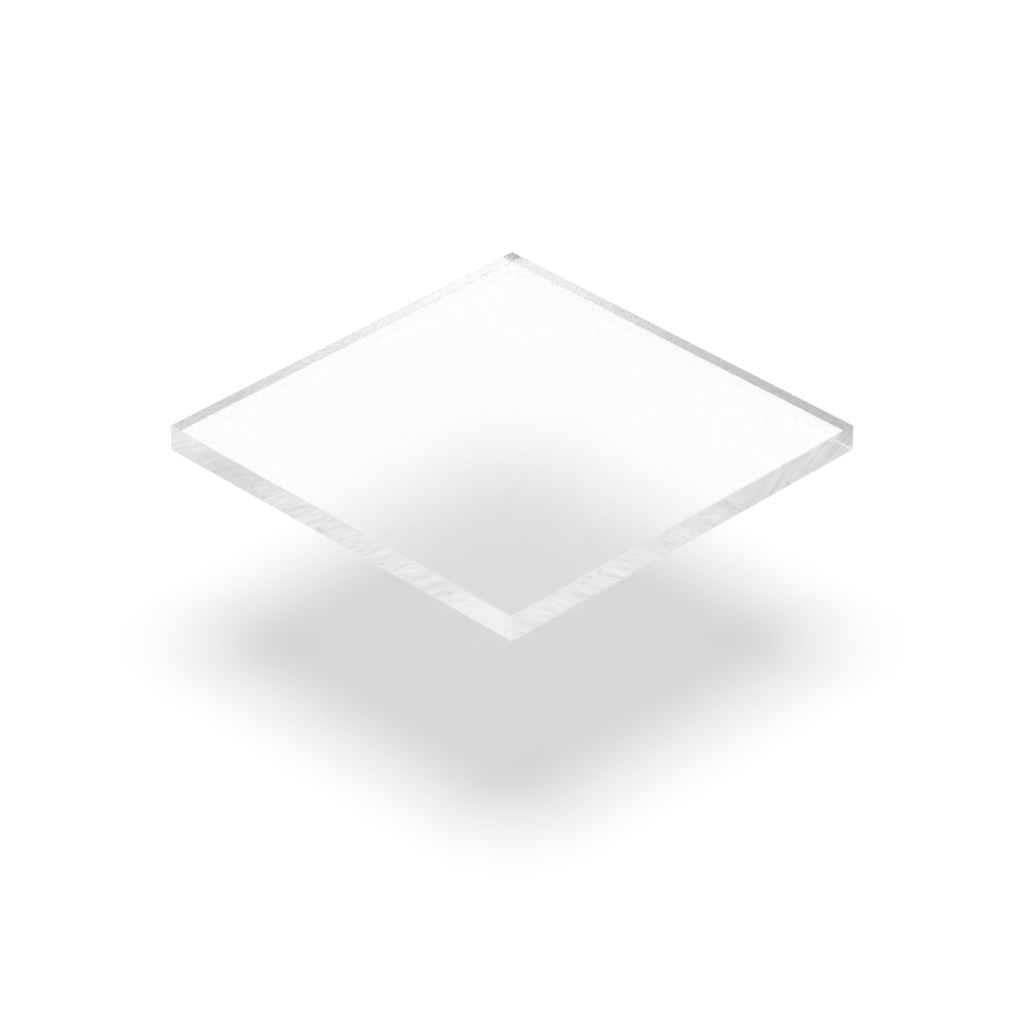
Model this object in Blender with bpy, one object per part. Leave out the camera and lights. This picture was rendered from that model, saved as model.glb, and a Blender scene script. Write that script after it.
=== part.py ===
"""Square cut of frosted cast acrylic sheet, lying flat with its frosted face down.

The origin is the middle of the lower face. X and Y run along the sawn edges and Z through the
thickness. The sheet is one cast piece: two flat faces, four sawn edges, upright corners rubbed
slightly round and a fine scraped arris along the rims of both faces.
"""

from math import radians

import bmesh
import bpy
from mathutils import Matrix

# Cut size, in metres
SHEET_LENGTH = 0.100  # along X
SHEET_WIDTH = 0.100  # along Y
SHEET_THICKNESS = 0.006  # along Z, a stock thickness

# Edge finish, in metres
CORNER_RADIUS = 0.0003  # of the four upright corners
ARRIS_WIDTH = 0.0002  # of the scrape at 45 degrees along each rim

CORNER_SEGMENTS = 6
SHARP_ANGLE = radians(30)

# Look of the stock
ACRYLIC_COLOUR = (0.93, 0.94, 0.94, 1.0)
ACRYLIC_ROUGHNESS = 0.45
ACRYLIC_IOR = 1.49


def clear_scene():
    for thing in list(bpy.data.objects):
        bpy.data.objects.remove(thing, do_unlink=True)


def acrylic_material():
    material = bpy.data.materials.new("frosted_acrylic")
    material.use_nodes = True
    shader = material.node_tree.nodes["Principled BSDF"]
    shader.inputs["Base Color"].default_value = ACRYLIC_COLOUR
    shader.inputs["Roughness"].default_value = ACRYLIC_ROUGHNESS
    shader.inputs["Metallic"].default_value = 0.0
    shader.inputs["IOR"].default_value = ACRYLIC_IOR
    shader.inputs["Transmission Weight"].default_value = 1.0
    return material


def sawn_block(bm):
    """The square-edged block as it comes off the saw, standing on the plane Z = 0."""
    to_size = Matrix.Diagonal((SHEET_LENGTH, SHEET_WIDTH, SHEET_THICKNESS, 1.0))
    onto_base = Matrix.Translation((0.0, 0.0, SHEET_THICKNESS / 2))
    bmesh.ops.create_cube(bm, size=1.0, matrix=onto_base @ to_size)


def bevel(bm, edges, width, segments):
    bmesh.ops.bevel(
        bm,
        geom=edges,
        offset=width,
        offset_type="OFFSET",
        segments=segments,
        profile=0.5,
        affect="EDGES",
        clamp_overlap=True,
        material=-1,
    )


def is_upright(edge):
    low, high = sorted(corner.co.z for corner in edge.verts)
    return high - low > SHEET_THICKNESS / 2


def is_rim(edge):
    """True for an edge between one of the two large faces and a sawn edge face."""
    lying = [abs(face.normal.z) > 0.5 for face in edge.link_faces]
    return lying.count(True) == 1


def make_sheet():
    bm = bmesh.new()
    sawn_block(bm)
    bevel(bm, [e for e in bm.edges if is_upright(e)], CORNER_RADIUS, CORNER_SEGMENTS)
    bm.normal_update()
    bevel(bm, [e for e in bm.edges if is_rim(e)], ARRIS_WIDTH, 1)
    mesh = bpy.data.meshes.new("acrylic_sheet")
    bm.to_mesh(mesh)
    bm.free()
    mesh.shade_smooth()
    mesh.set_sharp_from_angle(angle=SHARP_ANGLE)
    mesh.materials.append(acrylic_material())
    sheet = bpy.data.objects.new("acrylic_sheet", mesh)
    bpy.context.scene.collection.objects.link(sheet)


def main():
    clear_scene()
    make_sheet()


main()
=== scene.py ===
"""Dresses a sawn square of frosted acrylic: smooth upper face, frosted underside, sawn edges.

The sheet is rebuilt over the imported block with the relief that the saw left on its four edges,
and shown over a white studio floor under one broad overhead light.
"""

from collections import namedtuple
from math import cos, radians, sin, sqrt

import bmesh
import bpy
from bpy.props import FloatProperty, FloatVectorProperty, PointerProperty
from mathutils import Matrix, Vector, noise


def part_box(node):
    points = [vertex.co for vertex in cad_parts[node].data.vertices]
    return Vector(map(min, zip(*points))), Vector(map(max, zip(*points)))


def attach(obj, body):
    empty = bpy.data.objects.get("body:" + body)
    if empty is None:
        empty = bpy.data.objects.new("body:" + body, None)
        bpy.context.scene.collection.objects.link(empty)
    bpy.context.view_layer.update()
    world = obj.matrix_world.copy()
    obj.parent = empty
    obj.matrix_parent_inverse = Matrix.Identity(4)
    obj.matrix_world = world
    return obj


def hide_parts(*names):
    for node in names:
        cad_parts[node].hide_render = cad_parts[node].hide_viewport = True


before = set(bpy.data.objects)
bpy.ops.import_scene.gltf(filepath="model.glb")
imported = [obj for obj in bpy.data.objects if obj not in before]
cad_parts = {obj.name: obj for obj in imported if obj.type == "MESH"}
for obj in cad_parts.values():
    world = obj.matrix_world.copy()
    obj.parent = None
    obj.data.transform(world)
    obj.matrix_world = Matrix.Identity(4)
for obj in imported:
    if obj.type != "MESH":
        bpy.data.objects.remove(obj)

bl_info = {
    "name": "Frosted Acrylic Sheet",
    "version": (1, 0, 0),
    "blender": (4, 5, 0),
    "location": "View3D > Sidebar > Acrylic",
    "description": "Builds a sawn, frosted acrylic sheet and the studio it is shown in",
    "category": "Object",
}

BLOCK = "acrylic_sheet"
BLOCK_LOW, BLOCK_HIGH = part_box(BLOCK)
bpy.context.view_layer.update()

MM = 0.001
ON_FACE = 1e-6  # metres within which a point counts as lying on a face

CORNER_SEGMENTS = 6
ARRIS_SEGMENTS = 3
TOP, UNDERSIDE, EDGE, ARRIS = range(4)  # the order of the sheet's finishes
LEVEL = 0.99  # least upright share of the normal of a face that lies level
SLOPING = 0.1  # least upright share of the normal of an arris

# Names of what the saw left, kept on the mesh for the finishes of the edges and the arrises, with
# painted light and shade among them: the share that darkens the edges from within is painted
# shade, and the torn and scraped shares hold some as well
RISING_ARC = "rising_arc"
FALLING_ARC = "falling_arc"
RISING_SHARE = "rising_share"
TORN_AND_PAINTED_LIGHT_SHARE = "torn_share"
PAINTED_SHADE_SHARE = "painted_shade_share"
SCRAPED_AND_PAINTED_SHADE_SHARE = "scraped_share"
NOTED = (RISING_ARC, FALLING_ARC, RISING_SHARE, TORN_AND_PAINTED_LIGHT_SHARE, PAINTED_SHADE_SHARE, SCRAPED_AND_PAINTED_SHADE_SHARE)

ACRYLIC_IOR = 1.49
NOISE_MIDDLE = 0.5  # of a noise from 0 to 1
NOISE_LAYER = 0.5  # third place in a noise, which is 0 at all whole numbers

WHITE = (1.0, 1.0, 1.0, 1.0)
DIFFUSE_ONCE = 0.5  # between no bounce off a matt surface and one
FLOOR_REACH = 20.0  # metres from the sheet to the floor's sides
LAMP_HEIGHT = 1.0  # metres; its light is the same from any height
SENSOR_WIDTH = 36.0  # millimetres


class SheetSettings(bpy.types.PropertyGroup):
    """Sizes and finish of the sheet."""

    corner_radius: FloatProperty(
        name="Corner radius",
        description="Radius of the four rubbed upright corners",
        default=0.3 * MM,
        min=0.0,
        unit="LENGTH",
    )
    arris_width: FloatProperty(
        name="Arris width",
        description="Width of the scraped arris along both rims",
        default=0.2 * MM,
        min=0.0,
        unit="LENGTH",
    )
    blade_radius: FloatProperty(
        name="Blade radius",
        description="Radius of the circular saw that cut the edges, which the marks follow",
        default=125 * MM,
        unit="LENGTH",
    )
    blade_rise: FloatProperty(
        name="Blade rise",
        description="How far the blade stood above the sheet while it cut",
        default=20 * MM,
        unit="LENGTH",
    )
    relief_step: FloatProperty(
        name="Relief step",
        description="Spacing of the points that carry the saw's relief",
        default=0.25 * MM,
        unit="LENGTH",
    )
    mark_depth: FloatProperty(
        name="Mark depth",
        description="Depth of the deepest saw marks",
        default=0.03 * MM,
        unit="LENGTH",
    )
    torn_share: FloatProperty(
        name="Torn share",
        description="Share of the sawn edges that the teeth tore white",
        default=0.9,
        min=0.0,
        max=1.0,
        subtype="FACTOR",
    )
    frost: FloatProperty(
        name="Frost",
        description="Roughness of the frosted underside",
        default=0.1,
        min=0.0,
        max=1.0,
        subtype="FACTOR",
    )
    frost_grain: FloatProperty(
        name="Frost grain",
        description="Pitch of the fine grain of the frosted underside",
        default=0.2 * MM,
        unit="LENGTH",
    )
    upper_roughness: FloatProperty(
        name="Upper face roughness",
        description="Roughness of the smooth upper face",
        default=0.07,
        min=0.0,
        max=1.0,
        subtype="FACTOR",
    )
    acrylic_colour: FloatVectorProperty(
        name="Acrylic colour",
        description="Tint of the stock",
        subtype="COLOR",
        size=3,
        default=(1.0, 1.0, 1.0),
        min=0.0,
        max=1.0,
    )
    torn_colour: FloatVectorProperty(
        name="Sawn colour",
        description="Colour of the edges where the teeth tore them white",
        subtype="COLOR",
        size=3,
        default=(0.98, 0.98, 0.98),
        min=0.0,
        max=1.0,
    )
    # A dark tone mixed into the edges from within, where it darkens them: painted shade
    painted_shade_colour: FloatVectorProperty(
        name="Scar colour",
        description="Tone of the edges from within where they let light out",
        subtype="COLOR",
        size=3,
        default=(0.1, 0.1, 0.1),
        min=0.0,
        max=1.0,
    )


class StudioSettings(bpy.types.PropertyGroup):
    """Floor, light and camera."""

    floor_drop: FloatProperty(
        name="Floor drop",
        description="Height at which the sheet is shown over the floor",
        default=48.1 * MM,
        unit="LENGTH",
    )
    floor_colour: FloatVectorProperty(
        name="Floor colour",
        description="Colour of the studio floor",
        subtype="COLOR",
        size=3,
        default=(0.92, 0.92, 0.92),
        min=0.0,
        max=1.0,
    )
    key_strength: FloatProperty(
        name="Overhead light",
        description="Strength of the broad light overhead",
        default=1.41,
        min=0.0,
    )
    key_spread: FloatProperty(
        name="Overhead spread",
        description="Angle that the overhead light fills, which softens the shadow",
        default=radians(38.4),
        subtype="ANGLE",
    )
    fill_strength: FloatProperty(
        name="Fill",
        description="Level of the light from all round",
        default=0.662,
        min=0.0,
    )
    camera_azimuth: FloatProperty(
        name="Camera azimuth",
        description="Angle of the camera round the sheet",
        default=radians(45),
        subtype="ANGLE",
    )
    camera_elevation: FloatProperty(
        name="Camera elevation",
        description="Angle of the camera above the sheet",
        default=radians(32.21),
        subtype="ANGLE",
    )
    camera_distance: FloatProperty(
        name="Camera distance",
        description="Distance from the upper face's middle to the camera",
        default=1.2378,
        unit="LENGTH",
    )
    camera_tilt: FloatProperty(
        name="Camera tilt",
        description="How far below the upper face's middle the camera is aimed",
        default=radians(0.829),
        subtype="ANGLE",
    )
    camera_lens: FloatProperty(
        name="Lens",
        description="Focal length in millimetres, on a 36 mm sensor",
        default=210.5,
        unit="CAMERA",
    )


class Value:
    """A value socket in a material's nodes. Python's operators on it add Math nodes."""

    def __init__(self, finish, socket):
        self.finish = finish
        self.socket = socket

    def maths(self, operation, first, second=0.0):
        made = self.finish.node(
            "ShaderNodeMath", {"operation": operation}, {0: first, 1: second}
        )
        return made["Value"]

    def __add__(self, other):
        return self.maths("ADD", self, other)

    def __sub__(self, other):
        return self.maths("SUBTRACT", self, other)

    def __rsub__(self, other):
        return self.maths("SUBTRACT", other, self)

    def __mul__(self, other):
        return self.maths("MULTIPLY", self, other)

    def __gt__(self, other):
        return self.maths("GREATER_THAN", self, other)

    def __abs__(self):
        return self.maths("ABSOLUTE", self)

    def or_more(self, other):
        return self.maths("MAXIMUM", self, other)

    __radd__ = __add__
    __rmul__ = __mul__


class Outputs:
    """A node's outputs by name, as values."""

    def __init__(self, finish, node):
        self.finish = finish
        self.node = node

    def __getitem__(self, name):
        return Value(self.finish, self.node.outputs[name])


class Finish:
    """The node tree of a material or of the world."""

    def __init__(self, owner):
        owner.use_nodes = True
        self.tree = owner.node_tree
        self.tree.nodes.clear()

    def node(self, kind, settings=None, sockets=None):
        """Adds a node with its settings, and then the values or links of its sockets."""
        made = self.tree.nodes.new(kind)
        for name, setting in (settings or {}).items():
            setattr(made, name, setting)
        for name, value in (sockets or {}).items():
            if isinstance(value, Value):
                self.tree.links.new(value.socket, made.inputs[name])
            else:
                made.inputs[name].default_value = value
        return Outputs(self, made)


def opaque(colour):
    return (*colour, 1.0)


def blend(start, end, share):
    """0 before start, 1 after end, and a smooth step between."""
    share = min(max((share - start) / (end - start), 0.0), 1.0)
    return share * share * (3 - 2 * share)


# Places on an edge are in millimetres from its left end, as seen from outside. A patch changes a
# share by so much between two places. A corner at an upper end is so long and high, and changes
# the torn share and the share that darkens the edge from within; these changes paint light and
# shade.
Patch = namedtuple("Patch", "first last fade change")
UpperCorner = namedtuple("UpperCorner", "end long high torn leak")


class SawnEdge:
    """What the saw did to one edge. At the turn the marks change from falling to rising. Some
    patches are torn more or less than the rest, which paints light and shade: a painted highlight
    near the front corner and painted shade towards the right corner. Some mirror less from within,
    where a dark tone is mixed in: painted shade. An upper corner may do both, and its arris is
    less scraped."""

    def __init__(self, normal, along, turn, torn, painted_shades=(), corner=None):
        self.normal = Vector(normal)
        self.along = Vector(along)
        self.turn = turn
        self.torn = torn
        self.painted_shades = painted_shades
        self.corner = corner


ALWAYS_RISING = -100  # a turn that lies before the edge
BEFORE, BEYOND = -200, 300  # places far outside the sheet, for patches that run off an edge
SAWN_EDGES = {
    "front": SawnEdge(
        (0, -1, 0),
        (1, 0, 0),
        turn=ALWAYS_RISING,
        torn=[
            Patch(4, 35, fade=13, change=-0.15),
            Patch(34, 43, fade=4, change=-0.05),
            # Whiter towards the front corner: a painted highlight
            Patch(82, BEYOND, fade=8, change=0.14),
        ],
    ),
    "right": SawnEdge(
        (1, 0, 0),
        (0, 1, 0),
        turn=58,
        # Less white towards the right corner, and less again at its upper corner: painted shade
        torn=[Patch(44, BEYOND, fade=32, change=-0.13)],
        corner=UpperCorner(100, long=4.4, high=3.8, torn=-0.15, leak=0.0),
    ),
    "back": SawnEdge(
        (0, 1, 0),
        (-1, 0, 0),
        turn=ALWAYS_RISING,
        torn=[Patch(20, 45, fade=8, change=-0.12)],
        # The back edge darkened from within, and its corner below as well: painted shade
        painted_shades=[
            Patch(BEFORE, BEYOND, fade=1, change=0.12),
            Patch(BEFORE, 87, fade=27, change=0.17),
            Patch(43, 58, fade=6, change=0.05),
        ],
        corner=UpperCorner(100, long=3.4, high=3.4, torn=0.0, leak=0.18),
    ),
    "left": SawnEdge(
        (-1, 0, 0),
        (0, -1, 0),
        turn=40,
        torn=[
            Patch(BEFORE, 14, fade=7, change=0.06),
            Patch(55, 80, fade=9, change=-0.12),
        ],
        # The left edge darkened from within in two stretches: painted shade
        painted_shades=[
            Patch(22, 59, fade=10, change=0.055),
            Patch(73, BEYOND, fade=9, change=0.075),
        ],
        corner=UpperCorner(0, long=3.8, high=3.8, torn=0.0, leak=0.0),
    ),
}
TURN_LENGTH = 18  # millimetres of an edge over which the marks turn
RIM_FADE = 0.5 * MM  # over which the relief rises from a rim
# At the right corner the arris left unscraped is painted shade
MISSED = 0.45  # share of the arris that the scraper missed at the corners named above

# Frayed border of those corners, in shares of their length and height: where it starts from
# outside, where it ends, and how far noise of a pitch and a height moves it
FRAY_START, FRAY_END = 1.3, 0.6
FRAY = 0.5
FRAY_PITCH = 0.7 * MM
FRAY_REACH = 2.5 * MM

# Ridges of the relief, from the broad swells of the feed to the narrow marks of the teeth
Ridge = namedtuple("Ridge", "pitch row height")
RIDGES = (
    Ridge(7 * MM, row=0.5, height=0.3),
    Ridge(2.6 * MM, row=3.5, height=0.3),
    Ridge(1.2 * MM, row=7.5, height=0.2),
)


def change_at(patches, run):
    """What patches change at a place along an edge."""
    total = 0.0
    for first, last, fade, change in patches:
        total += change * blend(first, first + fade, run) * blend(last, last - fade, run)
    return total


class SawMarks:
    """The arcs that the blade's teeth left on the edges, and the painted light and shade noted
    with them.
    """

    def __init__(self, settings):
        self.radius = settings.blade_radius
        self.depth = settings.mark_depth
        self.torn = settings.torn_share
        self.arris = settings.arris_width
        self.centre = BLOCK_HIGH.z + settings.blade_rise - settings.blade_radius
        self.half = (BLOCK_HIGH - BLOCK_LOW) / 2
        self.middle = (BLOCK_HIGH.z + BLOCK_LOW.z) / 2

    def reach(self, point, edge):
        """How far a point lies outside the plane of an edge."""
        return point.dot(edge.normal) - (self.half.x if edge.normal.x else self.half.y)

    def lean(self, height):
        """How far the blade's arc has moved along the edge at a height."""
        return sqrt(self.radius**2 - (height - self.centre) ** 2)

    def read(self, point):
        """What the saw left at a point, painted light and shade included: its edge, and values
        under the names in NOTED.
        """
        name = max(SAWN_EDGES, key=lambda name: self.reach(point, SAWN_EDGES[name]))
        edge = SAWN_EDGES[name]
        length = 2 * (self.half.x if edge.along.x else self.half.y)
        run = point.dot(edge.along) + length / 2
        lean = self.lean(point.z)
        rising, falling = run + lean, run - lean
        share = blend(edge.turn * MM, (edge.turn + TURN_LENGTH) * MM, run)
        level_run = run + (lean - self.lean(self.middle)) * (2 * share - 1)
        # The patches paint light and shade into the torn share, and darken the edge from within
        torn = self.torn + change_at(edge.torn, level_run / MM)
        leak = change_at(edge.painted_shades, run / MM)
        scraped = 1.0
        if edge.corner:
            aside = abs(run / MM - edge.corner.end) / edge.corner.long
            below = (BLOCK_HIGH.z - point.z) / MM / edge.corner.high
            within = self.frayed(max(aside, below), point.z, rising)
            # Corners paint shade: the right one is less torn white, and the back one is darker
            # from within
            torn += within * edge.corner.torn
            leak += within * edge.corner.leak
            scraped -= within * MISSED
        apart = list(SAWN_EDGES).index(name)  # a metre between edges, so that none repeats another
        values = (rising + apart, falling + apart, share, torn, leak, scraped)
        return edge, dict(zip(NOTED, values))

    def frayed(self, place, height, rising):
        """1 where a place is well under 1 and 0 beyond. The border frays along the marks."""
        fray = noise.noise((rising / FRAY_PITCH, height / FRAY_REACH, NOISE_LAYER))
        return blend(FRAY_START, FRAY_END, place + FRAY * fray)

    def relief(self, height, rising, falling, share):
        """Depth of the marks where two arcs cross, which fades out at the rims."""
        inset = min(BLOCK_HIGH.z - height, height - BLOCK_LOW.z) - self.arris
        ridges = share * self.ridges(rising) + (1 - share) * self.ridges(falling)
        return self.depth * blend(0, RIM_FADE, inset) * ridges

    def ridges(self, run):
        """Depth from 0 to 1 along the run of an arc."""
        level = NOISE_MIDDLE
        for ridge in RIDGES:
            level += ridge.height * noise.noise((run / ridge.pitch, ridge.row, NOISE_LAYER))
        return min(max(level, 0.0), 1.0)


def bevel_edges(bm, edges, width, segments):
    bmesh.ops.bevel(
        bm,
        geom=edges,
        offset=width,
        offset_type="OFFSET",
        segments=segments,
        profile=0.5,
        affect="EDGES",
        clamp_overlap=True,
        material=-1,
    )


def is_upright(edge):
    low, high = sorted(corner.co.z for corner in edge.verts)
    return high - low > (BLOCK_HIGH.z - BLOCK_LOW.z) / 2


def is_level(face):
    return abs(face.normal.z) > LEVEL


def is_rim(edge):
    """True for an edge between one of the two large faces and a sawn edge."""
    return [is_level(face) for face in edge.link_faces].count(True) == 1


def cut_edges(bm, edges, step):
    """Divides like edges into pieces of about one step."""
    length = max(edge.calc_length() for edge in edges)
    cuts = max(round(length / step) - 1, 0)
    bmesh.ops.subdivide_edges(bm, edges=edges, cuts=cuts, use_grid_fill=True)


def is_long(edge, axis):
    """True for an edge that runs the length of a side, along X (0) or Y (1)."""
    span = abs(edge.verts[0].co[axis] - edge.verts[1].co[axis])
    return span > (BLOCK_HIGH[axis] - BLOCK_LOW[axis]) / 2


def blank_sheet(settings):
    """The block with its rubbed corners and scraped arrises, divided finely on its edges."""
    bm = bmesh.new()
    size = BLOCK_HIGH - BLOCK_LOW
    middle = (BLOCK_HIGH + BLOCK_LOW) / 2
    to_size = Matrix.Diagonal((*size, 1.0))
    bmesh.ops.create_cube(bm, size=1.0, matrix=Matrix.Translation(middle) @ to_size)
    uprights = [edge for edge in bm.edges if is_upright(edge)]
    bevel_edges(bm, uprights, settings.corner_radius, CORNER_SEGMENTS)
    bm.normal_update()
    rims = [edge for edge in bm.edges if is_rim(edge)]
    bevel_edges(bm, rims, settings.arris_width, ARRIS_SEGMENTS)
    bm.normal_update()
    level = [face for face in bm.faces if is_level(face)]
    bmesh.ops.delete(bm, geom=level, context="FACES_ONLY")
    for axis in (0, 1):
        cut_edges(bm, [e for e in bm.edges if is_long(e, axis)], settings.relief_step)
    cut_edges(bm, [e for e in bm.edges if is_upright(e)], settings.relief_step)
    borders = [edge for edge in bm.edges if edge.is_boundary]
    bmesh.ops.holes_fill(bm, edges=borders, sides=0)
    bmesh.ops.recalc_face_normals(bm, faces=bm.faces)
    bm.normal_update()
    return bm


def sort_faces(bm):
    """Gives each face its finish."""
    for face in bm.faces:
        lift = face.normal.z
        if is_level(face):
            face.material_index = TOP if lift > 0 else UNDERSIDE
        else:
            face.material_index = ARRIS if abs(lift) > SLOPING else EDGE
        face.smooth = face.material_index == EDGE


def saw(bm, marks):
    """Sinks the marks into the edges and notes what each point's finish needs."""
    layers = [bm.verts.layers.float.new(name) for name in NOTED]
    for corner in bm.verts:
        edge, left = marks.read(corner.co)
        for layer, name in zip(layers, NOTED):
            corner[layer] = left[name]
        if abs(marks.reach(corner.co, edge)) < ON_FACE:
            arcs = (left[RISING_ARC], left[FALLING_ARC], left[RISING_SHARE])
            corner.co -= marks.relief(corner.co.z, *arcs) * edge.normal


def stock(finish, colour, roughness, normal=None, clear=0.0):
    """A surface of the stock, which is solid in colour where it isn't clear."""
    sockets = {
        "Base Color": opaque(colour),
        "Roughness": roughness,
        "IOR": ACRYLIC_IOR,
        "Transmission Weight": clear,
    }
    if normal:
        sockets["Normal"] = normal
    return finish.node("ShaderNodeBsdfPrincipled", None, sockets)["BSDF"]


def acrylic(finish, settings, roughness, normal=None):
    """The bare stock, clear through and through, with a surface of some roughness."""
    return stock(finish, settings.acrylic_colour, roughness, normal, clear=1.0)


def bumped(finish, height, strength, distance):
    sockets = {"Height": height, "Strength": strength, "Distance": distance}
    return finish.node("ShaderNodeBump", None, sockets)["Normal"]


def mixed(finish, share, first, second):
    """The second surface over a share of the first."""
    return finish.node("ShaderNodeMixShader", None, {0: share, 1: first, 2: second})["Shader"]


def place_on(finish):
    return finish.node("ShaderNodeTexCoord")["Object"]


def axes(finish):
    """The place on the sheet as X, Y and Z."""
    return finish.node("ShaderNodeSeparateXYZ", None, {"Vector": place_on(finish)})


def noted(finish, name):
    """What the saw noted under a name."""
    return finish.node("ShaderNodeAttribute", {"attribute_name": name})["Fac"]


def streaks(finish, run, height, pitch, reach):
    """Noise from 0 to 1 in streaks along the arcs, pitch apart and about reach high."""
    place = finish.node(
        "ShaderNodeCombineXYZ", None, {"X": run * (1 / pitch), "Y": height * (1 / reach)}
    )
    texture = finish.node(
        "ShaderNodeTexNoise",
        {"noise_dimensions": "2D"},
        {"Vector": place["Vector"], "Scale": 1.0, "Detail": 2.0, "Roughness": 0.6},
    )
    return texture["Fac"]


def noise_over(finish, pitch, detail=2.0):
    """Noise from 0 to 1 over the sheet."""
    sockets = {"Vector": place_on(finish), "Scale": 1 / pitch, "Detail": detail}
    return finish.node("ShaderNodeTexNoise", None, sockets)["Fac"]


def between(finish, value, start, end):
    """0 before start, 1 after end, and a smooth step between."""
    sockets = {"Value": value, "From Min": start, "From Max": end}
    settings = {"interpolation_type": "SMOOTHSTEP"}
    return finish.node("ShaderNodeMapRange", settings, sockets)["Result"]


def rim_wear(finish, width):
    """0 over a level face, and up to 1 within a width of its rims."""
    place = axes(finish)
    aside = abs(place["X"]).or_more(abs(place["Y"]))
    return between(finish, aside, BLOCK_HIGH.x - width, BLOCK_HIGH.x)


# Change of the share that is torn white, by each kind of mark
SWELL_CHANGE = 0.22
TOOTH_CHANGE = 0.11
SCORED_GAIN = 0.08
SKIPPED_LOSS = 0.07
NICKED_LOSS = 0.1

# Roughness of the edges and arrises. The white ones have their least, and MARKS_DULL is added
# where the marks' noise is highest.
CLEAN_ROUGHNESS = 0.1
PAINTED_SHADE_ROUGHNESS = 0.7
ARRIS_ROUGHNESS = 0.95
TORN_ROUGHNESS = 0.4
SCRAPED_ROUGHNESS = 0.35
MARKS_DULL = 0.3


def sawn_edge_finish(settings):
    """Torn white by the teeth when seen from outside, with painted light and shade in the torn
    share, and a clean mirror from within, with a dark tone mixed in as painted shade.
    """
    material = bpy.data.materials.new("sawn_edge")
    finish = Finish(material)
    rising = noted(finish, RISING_ARC)
    falling = noted(finish, FALLING_ARC)
    share = noted(finish, RISING_SHARE)
    height = axes(finish)["Z"]

    def marks(pitch, reach):
        """Noise in streaks along the arcs, so far apart and so long."""
        up = streaks(finish, rising, height, pitch, reach)
        down = streaks(finish, falling, height, pitch, reach)
        return up * share + down * (1 - share)

    tooth = marks(pitch=0.5 * MM, reach=6 * MM)
    swell = marks(pitch=4 * MM, reach=14 * MM)
    scored = between(finish, marks(pitch=0.9 * MM, reach=6 * MM), start=0.53, end=0.66)
    skipped = between(finish, marks(pitch=1.4 * MM, reach=5 * MM), start=0.47, end=0.34)
    lumps = noise_over(finish, pitch=2.4 * MM, detail=0.0)
    nicked = between(finish, lumps, start=0.7, end=0.86)
    # The torn share holds painted light and shade from the patches, besides the streaks of the
    # marks
    torn = (
        noted(finish, TORN_AND_PAINTED_LIGHT_SHARE)
        + (swell - NOISE_MIDDLE) * SWELL_CHANGE
        + (tooth - NOISE_MIDDLE) * TOOTH_CHANGE
        + scored * SCORED_GAIN
        - skipped * SKIPPED_LOSS
        - nicked * NICKED_LOSS
    )
    normal = bumped(finish, tooth, strength=0.6, distance=0.02 * MM)
    roughness = tooth * MARKS_DULL + TORN_ROUGHNESS
    white = stock(finish, settings.torn_colour, roughness, normal)
    clean = acrylic(finish, settings, CLEAN_ROUGHNESS)
    # From within, a dark tone is mixed into the clean mirror: painted shade
    painted_shade_surface = stock(finish, settings.painted_shade_colour, PAINTED_SHADE_ROUGHNESS)
    inside = finish.node("ShaderNodeNewGeometry")["Backfacing"]
    within = mixed(finish, noted(finish, PAINTED_SHADE_SHARE) * inside, clean, painted_shade_surface)
    surface = mixed(finish, torn * (1 - inside), within, white)
    finish.node("ShaderNodeOutputMaterial", None, {"Surface": surface})
    return material


# Share of an arris that is scraped white: the least, and what the scrape's noise adds
SCRAPED_LEAST = 0.46
SCRAPED_GAIN = 0.4


def arris_finish(settings):
    """Rim of a face, scraped matt and pale, and clear from within."""
    material = bpy.data.materials.new("scraped_arris")
    finish = Finish(material)
    scrape = noise_over(finish, pitch=0.6 * MM)
    normal = bumped(finish, scrape, strength=0.5, distance=0.01 * MM)
    roughness = scrape * MARKS_DULL + SCRAPED_ROUGHNESS
    white = stock(finish, settings.torn_colour, roughness, normal)
    clear = acrylic(finish, settings, ARRIS_ROUGHNESS)
    outside = 1 - finish.node("ShaderNodeNewGeometry")["Backfacing"]
    scraped = (scrape * SCRAPED_GAIN + SCRAPED_LEAST) * noted(finish, SCRAPED_AND_PAINTED_SHADE_SHARE)
    surface = mixed(finish, scraped * outside, clear, white)
    finish.node("ShaderNodeOutputMaterial", None, {"Surface": surface})
    return material


# Roughness that each kind of wear adds where it is strongest
SMEAR_DULLS = 0.05
RUB_DULLS = 0.03
RIM_DULLS = 0.15
GRAIN_DULLS = 0.08
CLOUD_DULLS = 0.04
SCUFF_DULLS = 0.06


def upper_face_finish(settings):
    """Smooth cast face: faint unevenness of the casting, rubbed a little duller at the rims."""
    material = bpy.data.materials.new("smooth_face")
    finish = Finish(material)
    smear = noise_over(finish, pitch=18 * MM)
    rubbed = noise_over(finish, pitch=0.9 * MM)
    normal = bumped(finish, smear, strength=0.3, distance=0.05 * MM)
    worn = rim_wear(finish, width=2.5 * MM) * rubbed
    least = settings.upper_roughness - (SMEAR_DULLS + RUB_DULLS) * NOISE_MIDDLE
    roughness = smear * SMEAR_DULLS + rubbed * RUB_DULLS + worn * RIM_DULLS + least
    surface = acrylic(finish, settings, roughness, normal)
    finish.node("ShaderNodeOutputMaterial", None, {"Surface": surface})
    return material


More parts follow.
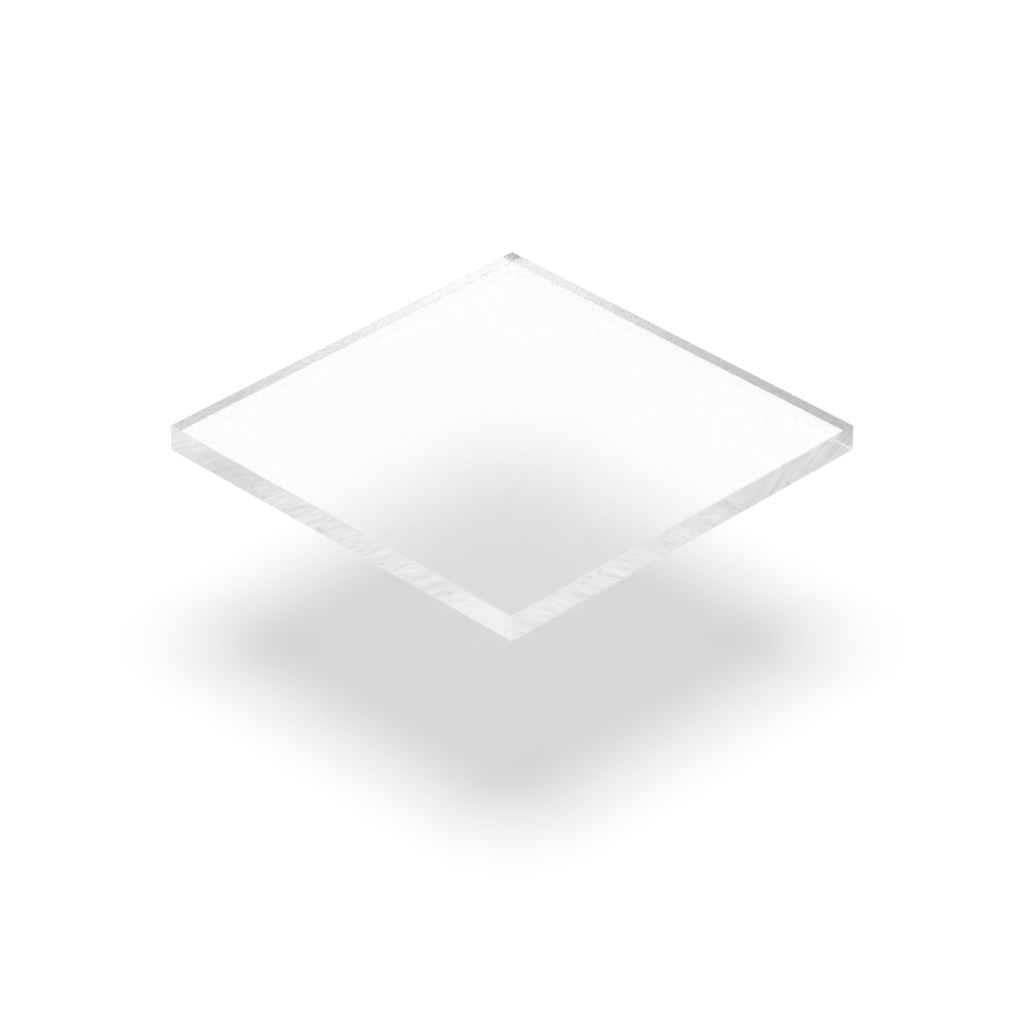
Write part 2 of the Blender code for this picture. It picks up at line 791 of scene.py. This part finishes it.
def underside_finish(settings):
    """Frosted face: a fine grain, a little uneven over the sheet, scuffed and worn at the rims."""
    material = bpy.data.materials.new("frosted_face")
    finish = Finish(material)
    grain = noise_over(finish, settings.frost_grain)
    cloud = noise_over(finish, pitch=12 * MM)
    normal = bumped(finish, grain, strength=1.0, distance=0.034 * MM)
    scuffed = between(finish, noise_over(finish, pitch=2.5 * MM), start=0.6, end=0.72)
    worn = scuffed + rim_wear(finish, width=1.5 * MM)
    least = settings.frost - (GRAIN_DULLS + CLOUD_DULLS) * NOISE_MIDDLE
    roughness = grain * GRAIN_DULLS + cloud * CLOUD_DULLS + worn * SCUFF_DULLS + least
    surface = acrylic(finish, settings, roughness, normal)
    finish.node("ShaderNodeOutputMaterial", None, {"Surface": surface})
    return material


class ACRYLIC_OT_sheet(bpy.types.Operator):
    """Builds the frosted sheet with its sawn edges"""

    bl_idname = "acrylic.sheet"
    bl_label = "Frosted Sheet"

    def execute(self, context):
        settings = context.scene.acrylic_sheet
        bm = blank_sheet(settings)
        sort_faces(bm)
        saw(bm, SawMarks(settings))
        mesh = bpy.data.meshes.new("frosted_sheet")
        bm.to_mesh(mesh)
        bm.free()
        for finish in (upper_face_finish, underside_finish, sawn_edge_finish, arris_finish):
            mesh.materials.append(finish(settings))
        sheet = bpy.data.objects.new("frosted_sheet", mesh)
        context.scene.collection.objects.link(sheet)
        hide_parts(BLOCK)
        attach(sheet, "root")
        return {"FINISHED"}


def floor_finish(settings):
    """Plain matt white."""
    material = bpy.data.materials.new("studio_floor")
    finish = Finish(material)
    surface = finish.node(
        "ShaderNodeBsdfDiffuse", None, {"Color": opaque(settings.floor_colour)}
    )
    finish.node("ShaderNodeOutputMaterial", None, {"Surface": surface["BSDF"]})
    return material


class ACRYLIC_OT_studio(bpy.types.Operator):
    """Lays the white floor and sets the overhead light and the fill"""

    bl_idname = "acrylic.studio"
    bl_label = "White Studio"

    def execute(self, context):
        settings = context.scene.acrylic_studio
        self.lay_floor(context, settings)
        self.hang_light(context, settings)
        self.set_world(context, settings)
        return {"FINISHED"}

    def lay_floor(self, context, settings):
        bm = bmesh.new()
        height = BLOCK_LOW.z - settings.floor_drop
        bmesh.ops.create_grid(
            bm,
            x_segments=1,
            y_segments=1,
            size=FLOOR_REACH,
            matrix=Matrix.Translation((0.0, 0.0, height)),
        )
        mesh = bpy.data.meshes.new("studio_floor")
        bm.to_mesh(mesh)
        bm.free()
        mesh.materials.append(floor_finish(settings))
        floor = bpy.data.objects.new("studio_floor", mesh)
        context.scene.collection.objects.link(floor)

    def hang_light(self, context, settings):
        lamp = bpy.data.lights.new("overhead_light", "SUN")
        lamp.energy = settings.key_strength
        lamp.angle = settings.key_spread
        light = bpy.data.objects.new("overhead_light", lamp)
        light.location = (0.0, 0.0, LAMP_HEIGHT)
        light.visible_transmission = False  # so that its disc doesn't show in the sheet
        context.scene.collection.objects.link(light)

    def set_world(self, context, settings):
        """White to the camera, in gloss and through the sheet, and the fill on matt surfaces."""
        world = bpy.data.worlds.new("white_studio")
        context.scene.world = world
        finish = Finish(world)
        path = finish.node("ShaderNodeLightPath")
        shown = path["Is Camera Ray"] + path["Is Glossy Ray"] + path["Is Transmission Ray"]
        thrown = path["Diffuse Depth"] > DIFFUSE_ONCE
        fill = self.background(finish, settings.fill_strength)
        white = self.background(finish, 1.0)
        surface = mixed(finish, shown * (1 - thrown), fill, white)
        finish.node("ShaderNodeOutputWorld", None, {"Surface": surface})

    def background(self, finish, strength):
        sockets = {"Color": WHITE, "Strength": strength}
        return finish.node("ShaderNodeBackground", None, sockets)["Background"]


class ACRYLIC_OT_camera(bpy.types.Operator):
    """Places the camera that looks down at the sheet across its corners"""

    bl_idname = "acrylic.camera"
    bl_label = "Camera"

    def execute(self, context):
        settings = context.scene.acrylic_studio
        target = (BLOCK_LOW + BLOCK_HIGH) / 2
        target.z = BLOCK_HIGH.z
        back = self.back(settings.camera_azimuth, settings.camera_elevation)
        aim = settings.camera_elevation + settings.camera_tilt
        facing = -self.back(settings.camera_azimuth, aim)
        camera = bpy.data.objects.new("camera", bpy.data.cameras.new("camera"))
        camera.data.lens = settings.camera_lens
        camera.data.sensor_width = SENSOR_WIDTH
        camera.location = target + back * settings.camera_distance
        camera.rotation_euler = facing.to_track_quat("-Z", "Y").to_euler()
        context.scene.collection.objects.link(camera)
        context.scene.camera = camera
        return {"FINISHED"}

    def back(self, azimuth, elevation):
        """The way from the sheet to the camera."""
        level = cos(elevation)
        return Vector((sin(azimuth) * level, -cos(azimuth) * level, sin(elevation)))


class ACRYLIC_PT_panel(bpy.types.Panel):
    """Lists the pieces and their settings"""

    bl_idname = "ACRYLIC_PT_panel"
    bl_label = "Frosted Acrylic Sheet"
    bl_space_type = "VIEW_3D"
    bl_region_type = "UI"
    bl_category = "Acrylic"

    def draw(self, context):
        for operator in OPERATORS:
            self.layout.operator(operator.bl_idname)
        for group in (context.scene.acrylic_sheet, context.scene.acrylic_studio):
            box = self.layout.box()
            for name in group.bl_rna.properties.keys():
                if name not in ("rna_type", "name"):
                    box.prop(group, name)


OPERATORS = (ACRYLIC_OT_sheet, ACRYLIC_OT_studio, ACRYLIC_OT_camera)
CLASSES = (SheetSettings, StudioSettings, *OPERATORS, ACRYLIC_PT_panel)


def register():
    for made in CLASSES:
        bpy.utils.register_class(made)
    bpy.types.Scene.acrylic_sheet = PointerProperty(type=SheetSettings)
    bpy.types.Scene.acrylic_studio = PointerProperty(type=StudioSettings)


def unregister():
    del bpy.types.Scene.acrylic_studio
    del bpy.types.Scene.acrylic_sheet
    for made in reversed(CLASSES):
        bpy.utils.unregister_class(made)


def main():
    register()
    bpy.context.scene.view_settings.view_transform = "Standard"
    bpy.ops.acrylic.camera()
    bpy.ops.acrylic.sheet()
    bpy.ops.acrylic.studio()


if __name__ == "__main__":
    main()
